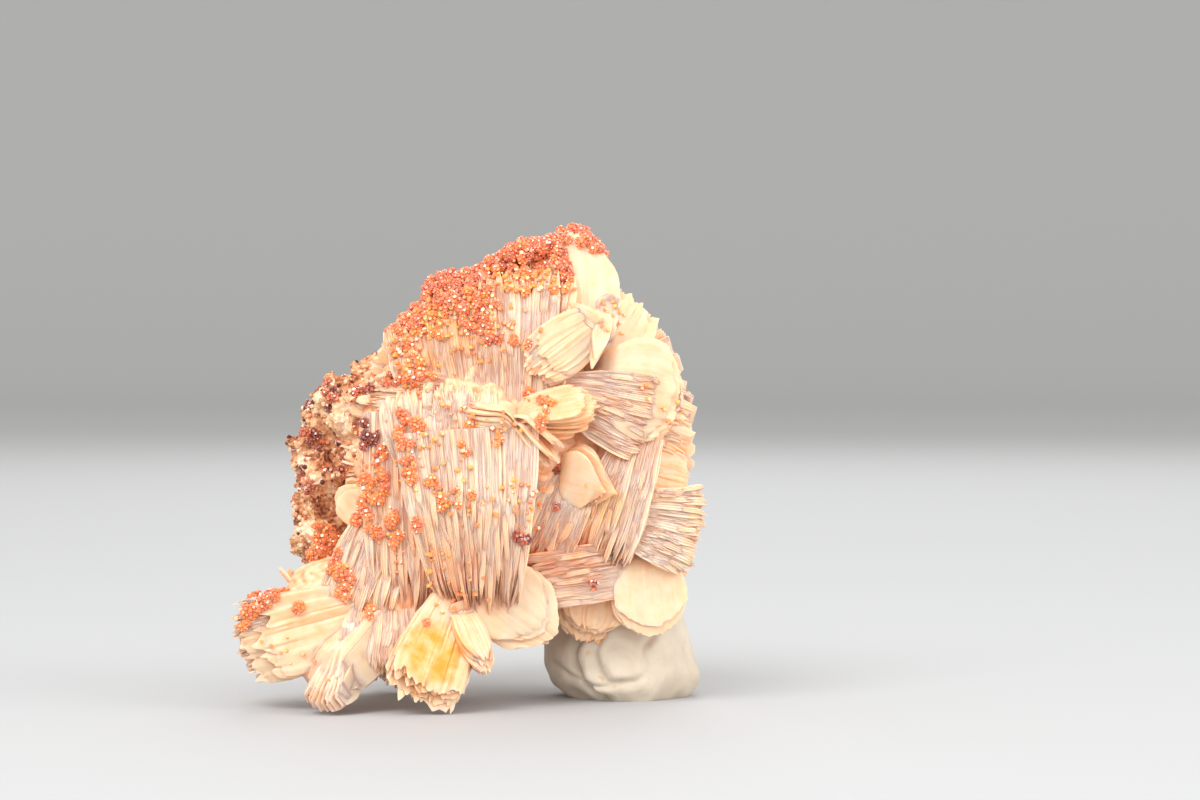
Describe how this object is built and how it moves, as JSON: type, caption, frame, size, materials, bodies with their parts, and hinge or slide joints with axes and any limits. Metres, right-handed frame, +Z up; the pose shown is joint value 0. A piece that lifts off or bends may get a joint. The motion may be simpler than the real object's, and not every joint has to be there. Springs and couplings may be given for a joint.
{
  "type": "mineral specimen",
  "caption": "Vanadinite crystals crusting bladed barite on brown rock, standing on its lower blades and a pinched lump of mounting putty.",
  "frame": {"origin": "the surface it stands on, below the middle of the bounding box", "axes": "+X towards the putty's side, +Y from the bladed front face to the rock at the back, +Z up"},
  "size_m": [0.0709, 0.0503, 0.0709],
  "materials": {
    "barite": "translucent, silky on the blades' faces",
    "rock": "rough and sandy, iron-stained",
    "vanadinite": "resinous, glossy crystals",
    "putty": "matte"
  },
  "bodies": {
    "root": {"specimen": "barite", "putty": "putty"}
  },
  "joints": []
}
